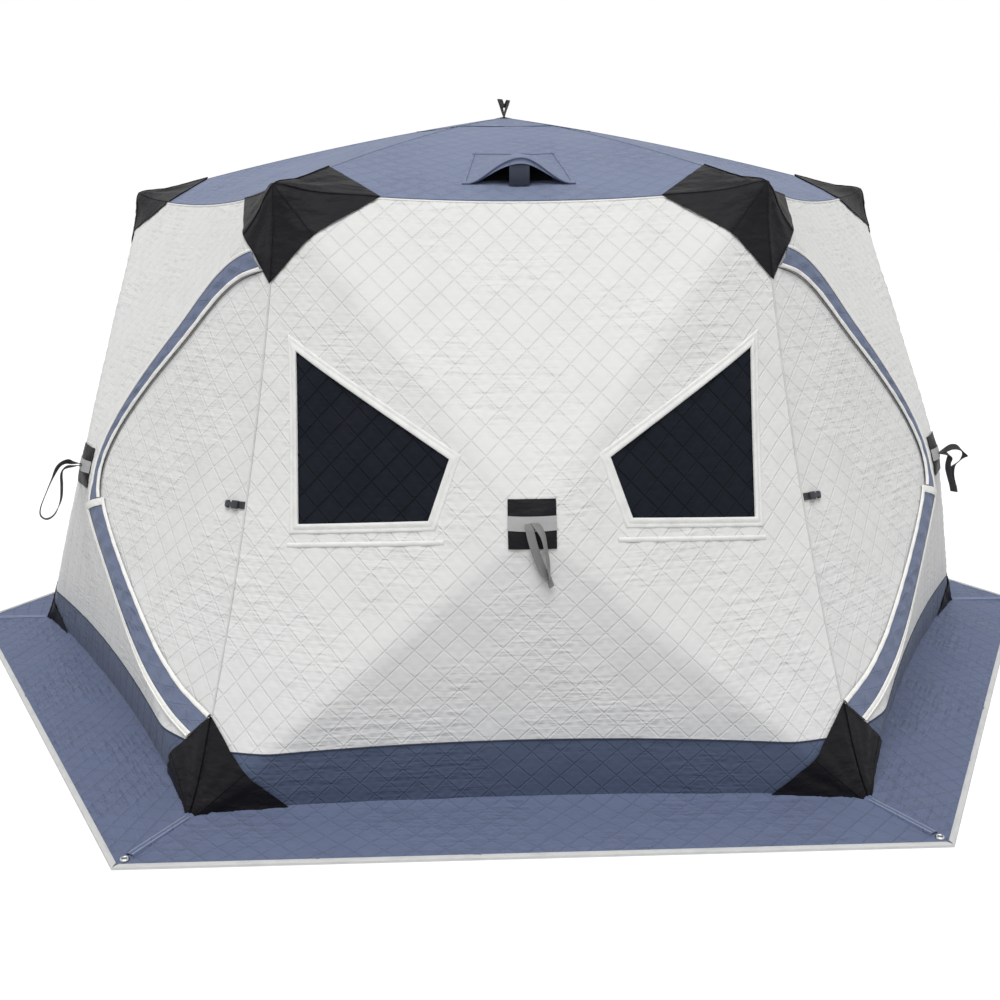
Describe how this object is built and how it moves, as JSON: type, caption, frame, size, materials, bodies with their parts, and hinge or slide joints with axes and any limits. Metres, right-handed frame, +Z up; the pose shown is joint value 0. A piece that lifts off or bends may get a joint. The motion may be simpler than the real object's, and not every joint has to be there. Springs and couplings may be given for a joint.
{
  "type": "ice fishing hut",
  "caption": "Hexagonal pop-up hub ice fishing hut: quilted fabric walls and roof over crossed poles, with opening doors, covered windows, roof vents and a snow skirt.",
  "frame": {"origin": "centre of the hexagonal footprint on the ground", "axes": "+Z up, the front wall faces -Y, +X to the right of someone looking at the front"},
  "size_m": [4.3988, 3.8098, 2.1128],
  "materials": {
    "quilted_wall": "quilted light grey-white fabric with a soft sheen",
    "base_band": "slate blue coated fabric",
    "snow_skirt": "slate blue quilted coated fabric",
    "roof_fabric": "slate blue coated fabric, slightly glossy",
    "reinforcement": "black heavy coated fabric",
    "window_cover": "navy-black quilted fabric",
    "door_flap": "slate blue fabric with white piping",
    "piping": "white piping",
    "webbing": "woven grey webbing",
    "buckle": "moulded acetal",
    "eyelet": "polished steel",
    "pole": "black glass fibre rod",
    "hub_moulding": "moulded nylon"
  },
  "bodies": {
    "tent": {"front_wall": "quilted_wall", "front_right_wall": "quilted_wall", "back_right_wall": "quilted_wall", "back_wall": "quilted_wall", "back_left_wall": "quilted_wall", "front_left_wall": "quilted_wall", "front_base_band": "base_band", "front_right_base_band": "base_band", "back_right_base_band": "base_band", "back_base_band": "base_band", "back_left_base_band": "base_band", "front_left_base_band": "base_band", "front_skirt": "snow_skirt", "front_right_skirt": "snow_skirt", "back_right_skirt": "snow_skirt", "back_skirt": "snow_skirt", "back_left_skirt": "snow_skirt", "front_left_skirt": "snow_skirt", "front_roof_panel": "roof_fabric", "front_right_roof_panel": "roof_fabric", "back_right_roof_panel": "roof_fabric", "back_roof_panel": "roof_fabric", "back_left_roof_panel": "roof_fabric", "front_left_roof_panel": "roof_fabric", "eave_corner_caps": "reinforcement", "ground_corner_caps": "reinforcement", "hub_patches": "reinforcement", "window_covers": "window_cover", "door_upper_flaps": "door_flap", "door_hinge_seams": "piping", "vent_hoods": "roof_fabric", "vent_props": "webbing", "wall_pull_straps": "webbing", "peak_pull_strap": "webbing", "skirt_eyelets": "eyelet", "wall_poles": "pole", "roof_poles": "pole", "pole_hubs": "hub_moulding", "corner_sockets": "hub_moulding"},
    "left_door": {"left_door_panel": "quilted_wall", "left_door_lower_flap": "door_flap", "left_door_buckle": "buckle"},
    "right_door": {"right_door_panel": "quilted_wall", "right_door_lower_flap": "door_flap", "right_door_buckle": "buckle"}
  },
  "joints": [
    {"name": "left_door_swing", "type": "hinge", "parent": "tent", "child": "left_door", "pos_m": [-0.83375, -1.4441, 0.8675], "axis": [0.132, 0.2287, 0.9645], "range_deg": [0, 120]},
    {"name": "right_door_swing", "type": "hinge", "parent": "tent", "child": "right_door", "pos_m": [0.83375, -1.4441, 0.8675], "axis": [0.132, -0.2287, -0.9645], "range_deg": [0, 120]}
  ]
}
